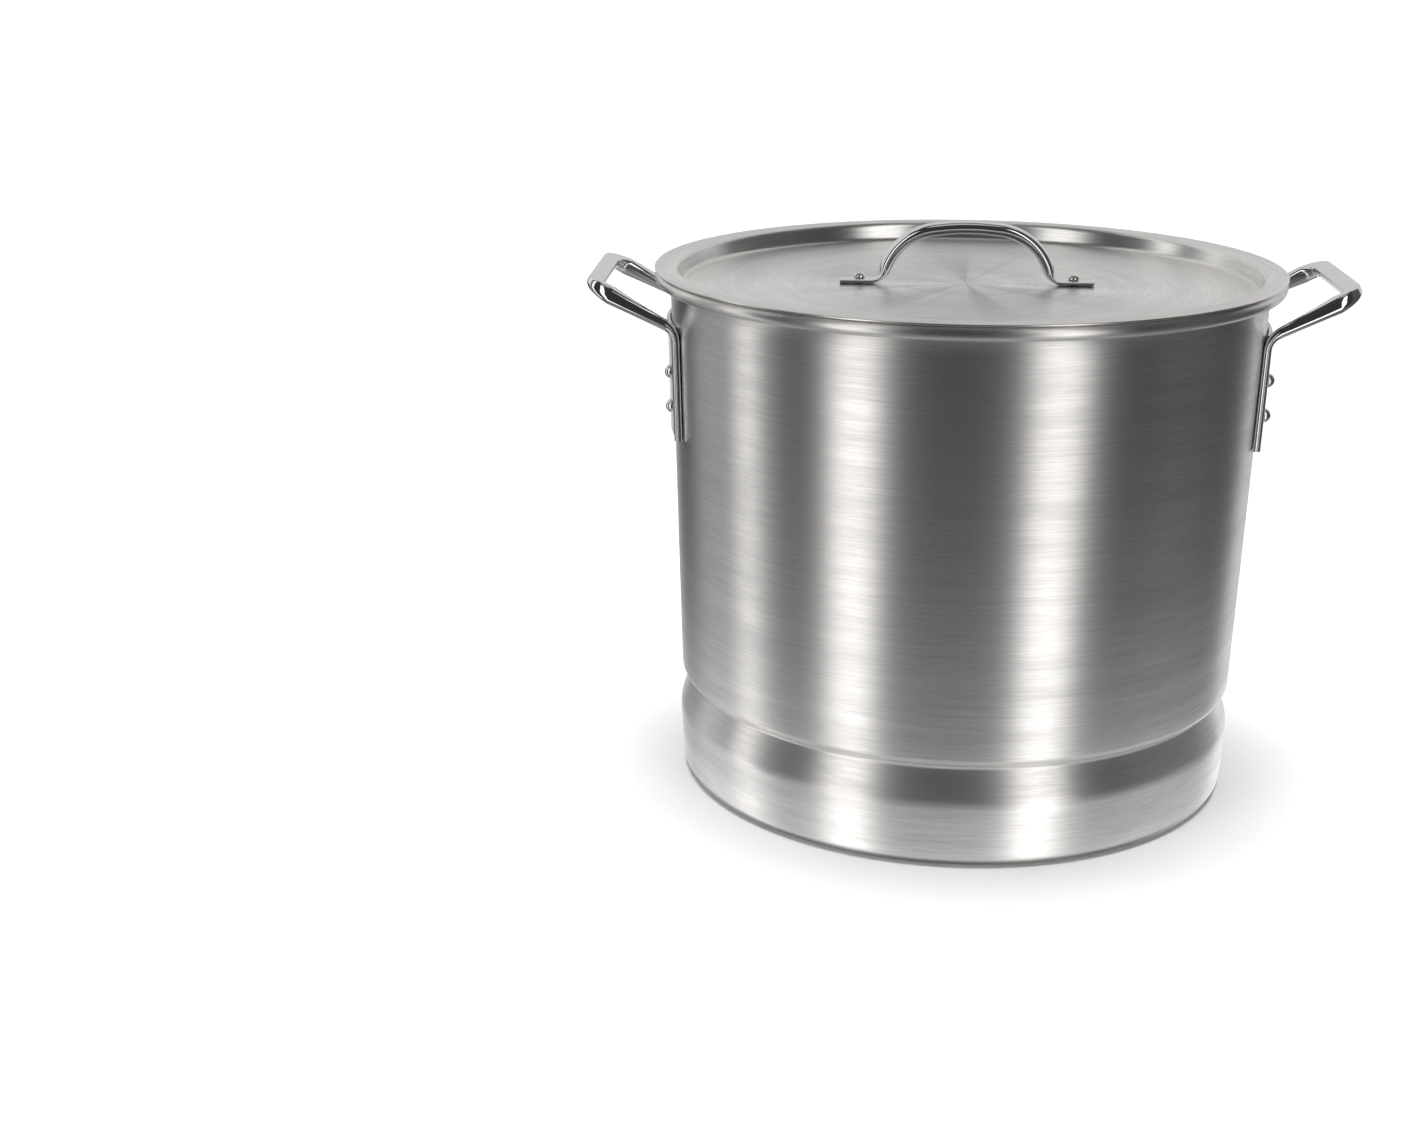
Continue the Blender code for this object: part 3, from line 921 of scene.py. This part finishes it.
# ---- lid ----
@dataclass
class Lid:
    """The lid: a flange on the rim, a recess in the pot's mouth, and a bow handle."""

    finishes: Finishes
    sheet: float = 0.0014
    recess_radius: float = 0.2008
    recess_depth: float = 0.0130
    recess_taper: float = 0.0030
    rounding: tuple[float, ...] = (0.0030, 0.0050)
    longest: float = 0.008
    tip: float = 0.0870  # from the middle to a foot's end, to its bend and to the shoulder
    knee: float = 0.0590
    shoulder: float = 0.0465
    height: float = 0.0440
    camber: float = 0.0050  # how much higher the bow's middle is than its shoulders
    foot_size: Point = (0.0150, 0.0030)
    rod_size: Point = (0.0130, 0.0086)
    flat_back: float = 4.0
    handle_rounding: tuple[float, ...] = (0.0090, 0.0400, 0.1500, 0.0400, 0.0090)
    rivet: Rivet = Rivet(shank=0.0022, head_radius=0.0040, head_height=0.0034, inner_head=0.0010)
    air: float = 0.0003
    centre: float = 0.004
    segments: int = 320

    @property
    def disc(self) -> float:
        """Height of the sunken disc's upper face."""
        return node_box("lid_pan")[1].z - self.recess_depth

    def pan(self) -> Mesh:
        """The spun sheet of the lid.

        Returns:
            The mesh.
        """
        top = node_box("lid_pan")[1]
        seat = top.z - self.sheet
        floor = self.disc - self.sheet
        narrow = self.recess_radius - self.recess_taper
        under = rounded_profile(((top.x - self.sheet / 2, seat), (self.recess_radius, seat),
                                 (narrow, floor), (self.centre, floor)), self.rounding)
        under = split_long(under, self.longest)
        over = offset(under, -self.sheet)
        return turned(under[::-1] + sheet_edge(top.x, seat, self.sheet) + over, self.segments)

    def bow(self) -> Mesh:
        """The handle: two flat feet and a half-round bow between them.

        Returns:
            The mesh.
        """
        foot = self.disc + self.air + self.foot_size[1] / 2
        crown = self.disc + self.height - self.rod_size[1] / 2
        half = [Vector((-self.tip, 0.0, foot)), Vector((-self.knee, 0.0, foot)),
                Vector((-self.shoulder, 0.0, crown - self.camber))]
        corners = half + [Vector((0.0, 0.0, crown))] + [Vector((-p.x, p.y, p.z)) for p in reversed(half)]
        across = Vector((0.0, 1.0, 0.0))
        sections = []
        for point, along in filleted(corners, self.handle_rounding):
            rise = smooth(point.z - foot, 0.0, self.rod_size[1])
            size = tuple(mix(flat, rod, rise) for flat, rod in zip(self.foot_size, self.rod_size))
            front = along.cross(across).normalized()
            sections.append(bar_section(point, across, front, size, self.flat_back))
        return lofted(sections)

    def build(self) -> None:
        """Make the lid with its handle and rivets."""
        piece("lid_sheet_spun", self.pan(), self.finishes.lid, Body.LID, Slot.LID, ("lid_pan",))
        piece("lid_bow", self.bow(), self.finishes.chrome, Body.LID, Slot.HANDLE, ("lid_handle",))
        for side in Side:
            node = f"lid_rivet_{side.label}"
            low, high = node_box(node)
            bm = self.rivet.build(self.sheet + self.air, self.foot_size[1] + 2 * self.air)
            bmesh.ops.translate(bm, vec=Vector(((low.x + high.x) / 2, (low.y + high.y) / 2, self.disc)),
                                verts=bm.verts)
            piece(f"lid_bow_rivet_{side.label}", bm, self.finishes.rivet, Body.LID, Slot.RIVET, (node,))


# ---- steamer plate ----
@dataclass
class SteamerPlate:
    """The perforated plate that stands on the ledge inside the pot."""

    finishes: Finishes
    sheet: float = 0.0014
    flange: float = 0.0060
    step: float = 0.0045  # width of the sloping step inside the flange
    drop: float = 0.0065
    rounding: tuple[float, ...] = (0.0020, 0.0020)
    flat_from: float = 0.98  # where the flat disc takes over, as a share of its radius
    rings: tuple[float, ...] = (0.195, 0.345, 0.52, 0.63, 0.70)  # as shares of the plate's radius
    inner_turn: int = -15  # degrees by which the innermost ring is turned
    finger_angles: tuple[int, ...] = (60, 240)
    pair_turns: tuple[int, ...] = (-9, 9)
    lone_turn: int = 45
    outer_turns: tuple[int, ...] = (-15, 0, 15)
    steam_hole: float = 0.0065
    finger_hole: float = 0.0105
    deburr: float = 0.0004
    hole_segments: int = 32
    segments: int = 256

    def pan(self) -> Mesh:
        """The plate without its holes.

        Returns:
            The mesh.
        """
        high = node_box("steamer_plate")[1]
        rest = high.z - self.sheet
        floor = rest - self.drop
        inner = high.x - self.flange
        disc = inner - self.step
        under = rounded_profile(((high.x - self.sheet / 2, rest), (inner, rest), (disc, floor),
                                 (self.flat_from * disc, floor)), self.rounding)
        over = offset(under, -self.sheet)
        return turned(under[::-1] + sheet_edge(high.x, rest, self.sheet) + over, self.segments)

    def holes(self) -> Iterator[tuple[Vector, float]]:
        """Lay out the holes.

        Yields:
            Place and radius of every hole, at the middle of the sheet.
        """
        high = node_box("steamer_plate")[1]
        level = high.z - self.sheet - self.drop + self.sheet / 2
        inner, finger, pair, lone, outer = self.rings
        spots = [(0.0, 0.0)]
        spots += [(inner, angle + self.inner_turn) for angle in range(0, 360, 60)]
        spots += [(finger, angle) for angle in range(0, 360, 30) if angle not in self.finger_angles]
        for quarter in range(0, 360, 90):
            spots += [(pair, quarter + turn) for turn in self.pair_turns]
            spots += [(outer, quarter + turn) for turn in self.outer_turns]
            spots.append((lone, quarter + self.lone_turn))
        for share, angle in spots:
            yield polar(share * high.x, math.radians(angle), level), self.steam_hole
        for angle in self.finger_angles:
            yield polar(finger * high.x, math.radians(angle), level), self.finger_hole

    def punch(self) -> Thing:
        """One cutter for all holes, which takes the burr off both their edges.

        Returns:
            The cutter.
        """
        bm = bmesh.new()
        half, reach = self.sheet / 2, self.sheet
        for spot, radius in self.holes():
            wide = radius + self.deburr + (reach - half)
            straight = half - self.deburr
            hole = turned([(wide, -reach), (radius, -straight), (radius, straight), (wide, reach)],
                          self.hole_segments)
            bmesh.ops.translate(hole, vec=spot, verts=hole.verts)
            mesh = finished(hole, "punch")
            bm.from_mesh(mesh)
            bpy.data.meshes.remove(mesh)
        bmesh.ops.recalc_face_normals(bm, faces=bm.faces)
        return placed("punch", finished(bm, "punch"))

    def build(self) -> None:
        """Make the plate."""
        plate = piece("steam_plate", self.pan(), self.finishes.plate, Body.PLATE, Slot.PLATE,
                      ("steamer_plate",))
        punch = self.punch()
        step = plate.modifiers.new("holes", "BOOLEAN")
        step.operation = "DIFFERENCE"
        step.solver = "EXACT"
        step.object = punch
        graph = bpy.context.evaluated_depsgraph_get()
        cut = bpy.data.meshes.new_from_object(plate.evaluated_get(graph))
        plate.modifiers.clear()
        plate.data = cut
        cut.shade_smooth()
        cut.set_sharp_from_angle(angle=SHARP_ANGLE)
        bpy.data.objects.remove(punch, do_unlink=True)


# ---- studio ----
@dataclass(frozen=True)
class Panel:
    """A soft light panel of the studio, seen from the pot."""

    bearing: float  # degrees from the camera, to the right
    half_width: float  # degrees
    softness: float  # degrees over which its edge fades
    low: float  # lowest and highest elevation, in degrees
    high: float
    strength: float
    fade: float = 8.0  # degrees over which its upper and lower ends fade

    def glow(self, nodes: Nodes, level: Socket, rise: Socket, front: float) -> Socket:
        """The panel's brightness in every direction.

        Args:
            nodes: The world's nodes.
            level: The direction, brought down to the horizon.
            rise: The sine of the direction's elevation.
            front: Direction of the camera, as an angle about Z.

        Returns:
            The brightness.
        """
        middle = polar(1.0, front + math.radians(self.bearing), 0.0)
        facing = nodes.add("VectorMath", {0: level, 1: middle}, operation="DOT_PRODUCT").outputs["Value"]
        outer, inner = (math.cos(math.radians(self.half_width + sign * self.softness)) for sign in (1, -1))
        wide = nodes.ranged(facing, (outer, inner), UNIT, "SMOOTHSTEP")
        ends = [math.sin(math.radians(angle))
                for angle in (self.low - self.fade, self.low, self.high, self.high + self.fade)]
        above = nodes.ranged(rise, (ends[0], ends[1]), UNIT, "SMOOTHSTEP")
        below = nodes.ranged(rise, (ends[2], ends[3]), UNIT[::-1], "SMOOTHSTEP")
        return nodes.maths("MULTIPLY", nodes.maths("MULTIPLY", wide, nodes.maths("MULTIPLY", above, below)),
                           self.strength)


@dataclass
class Studio:
    """The floor, the light and the camera."""

    lens: float = 52.77
    sensor: float = 36.0
    clip_end: float = 100.0
    aim: float = math.radians(17.67)
    orbit: float = math.radians(4.1)
    place: tuple[float, float, float] = (-0.18325, -1.41304, 0.59864)
    floor_size: float = 24.0
    floor_height: float = -0.0004
    disc_segments: int = 96
    pale: Colour = (0.93, 0.93, 0.93)
    dim: Point = (0.028, 0.042)  # brightness of the dark cloth, straight below and straight above
    cloth: Colour = (1.0, 0.99, 0.98)
    panels: tuple[Panel, ...] = (
        Panel(-41.0, 9.0, 3.0, -40.0, 50.0, 1.5),
        Panel(37.5, 9.5, 3.0, -40.0, 50.0, 1.5),
        Panel(-91.0, 5.5, 3.0, -40.0, 50.0, 1.2),
        Panel(-115.0, 11.0, 4.0, -40.0, 50.0, 0.26),
        Panel(95.0, 16.0, 10.0, -40.0, 50.0, 0.05),
        Panel(172.0, 32.0, 7.0, -40.0, -4.0, 0.62),
        Panel(185.0, 62.0, 7.0, 4.0, 60.0, 0.60),
    )
    overhead: float = 3.45  # strength of the soft light from straight above
    overhead_spread: float = math.radians(38)
    cap: float = 0.45  # brightness of the ceiling panel
    cap_edge: Point = (73.0, 81.0)  # elevations between which the ceiling panel begins
    bounce: float = 0.62  # brightness of the floor's bounce light beside the pot
    bounce_reach: float = 0.20
    bounce_size: float = 1.6
    bounce_height: float = -0.0002
    foot_shade: float = 0.001  # width of the shaded strip of floor at the pot's foot
    foot_light: float = 0.1  # share of the bounce light that is left there

    def camera(self) -> Thing:
        """Place the camera.

        Returns:
            The camera.
        """
        data = bpy.data.cameras.new("camera")
        data.lens = self.lens
        data.sensor_width = self.sensor
        data.clip_end = self.clip_end
        thing = placed("camera", data)
        thing.matrix_world = (Matrix.Rotation(self.orbit, 4, "Z") @ Matrix.Translation(self.place)
                              @ Matrix.Rotation(math.pi / 2 - self.aim, 4, "X"))
        bpy.context.scene.camera = thing
        return thing

    def bounce_light(self) -> Material:
        """Make the see-through glow of the floor's bounce light.

        Returns:
            The material.
        """
        material, nodes, place = blank_material("bounce_light")
        reach = nodes.add("VectorMath", {0: place}, operation="LENGTH").outputs["Value"]
        past = nodes.maths("SUBTRACT", reach, node_box("kettle_base")[1].x)
        fade = nodes.maths("EXPONENT", nodes.maths("DIVIDE", past, -self.bounce_reach))
        lit = nodes.ranged(past, (0.0, self.foot_shade), (self.foot_light, 1.0), "SMOOTHSTEP")
        strength = nodes.maths("MULTIPLY", nodes.maths("MULTIPLY", fade, lit), self.bounce)
        glow = nodes.add("Emission", {"Strength": strength})
        clear = nodes.add("BsdfTransparent")
        both = nodes.add("AddShader", {0: glow.outputs["Emission"], 1: clear.outputs["BSDF"]})
        nodes.add("OutputMaterial", {"Surface": both.outputs["Shader"]})
        return material

    def ground(self) -> None:
        """Lay the pale floor, which metal doesn't mirror, and the bounce light, which only metal does."""
        paint = Backdrop("floor_paint", self.pale).build()
        for name, radius, height, material, unseen_by in (
                ("floor", self.floor_size, self.floor_height, paint, ("glossy", "shadow")),
                ("floor_bounce", self.bounce_size, self.bounce_height, self.bounce_light(),
                 ("camera", "diffuse", "transmission", "shadow"))):
            bm = bmesh.new()
            bmesh.ops.create_circle(bm, cap_ends=True, segments=self.disc_segments, radius=radius)
            mesh = finished(bm, name)
            mesh.materials.append(material)
            thing = placed(name, mesh)
            thing.location.z = height
            for rays in unseen_by:
                setattr(thing, f"visible_{rays}", False)
            thing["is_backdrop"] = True

    def light(self, camera: Thing) -> None:
        """Surround the scene with soft panels on dark cloth.

        Args:
            camera: The camera that the panels' bearings are counted from.
        """
        world = bpy.data.worlds.new("studio")
        world.use_nodes = True
        bpy.context.scene.world = world
        nodes = Nodes(world.node_tree)
        split = nodes.add("SeparateXYZ", {"Vector": nodes.add("TexCoord").outputs["Generated"]})
        x, y, rise = (split.outputs[axis] for axis in "XYZ")
        level = nodes.add("CombineXYZ", {"X": x, "Y": y}).outputs[0]
        level = nodes.add("VectorMath", {0: level}, operation="NORMALIZE").outputs[0]
        front = math.atan2(camera.matrix_world.translation.y, camera.matrix_world.translation.x)
        total = nodes.ranged(rise, (-1.0, 1.0), self.dim)
        for panel in self.panels:
            total = nodes.maths("ADD", total, panel.glow(nodes, level, rise, front))
        begins, full = (math.sin(math.radians(angle)) for angle in self.cap_edge)
        total = nodes.maths("ADD", total, nodes.ranged(rise, (begins, full), (0.0, self.cap), "SMOOTHSTEP"))
        seen = nodes.add("LightPath").outputs["Is Camera Ray"]
        dark = nodes.add("Background", {"Color": (*self.cloth, 1.0), "Strength": total})
        pale = nodes.add("Background", {"Color": (1.0, 1.0, 1.0, 1.0), "Strength": 1.0})
        both = nodes.add("MixShader", {0: seen, 1: dark.outputs[0], 2: pale.outputs[0]})
        nodes.add("OutputWorld", {"Surface": both.outputs[0]})

    def overhead_light(self) -> None:
        """Light the floor from straight above, without a reflection in the metal."""
        data = bpy.data.lights.new("overhead", "SUN")
        data.angle = self.overhead_spread
        data.energy = self.overhead
        placed("overhead", data).visible_glossy = False

    def build(self) -> None:
        """Set up the studio."""
        camera = self.camera()
        self.ground()
        self.light(camera)
        self.overhead_light()
        bpy.context.scene.view_settings.view_transform = "Standard"


def write_sizes() -> None:
    """Work out the box of the model as packed and of the model as it looks, as plain numbers, without
    writing them anywhere.
    """
    boxes = {"cad": CAD_BOX, "visual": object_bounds()}
    plain = {name: [[float(value) for value in corner] for corner in box] for name, box in boxes.items()}


def main() -> None:
    """Build the kettle and the studio."""
    logging.basicConfig(level=logging.INFO, format="%(name)s: %(message)s")
    finishes = Finishes.make()
    pot = Pot(finishes)
    pot.build()
    SideHandles(pot).build()
    Lid(finishes).build()
    SteamerPlate(finishes).build()
    Studio().build()
    write_sizes()


if __name__ == "__main__":
    main()
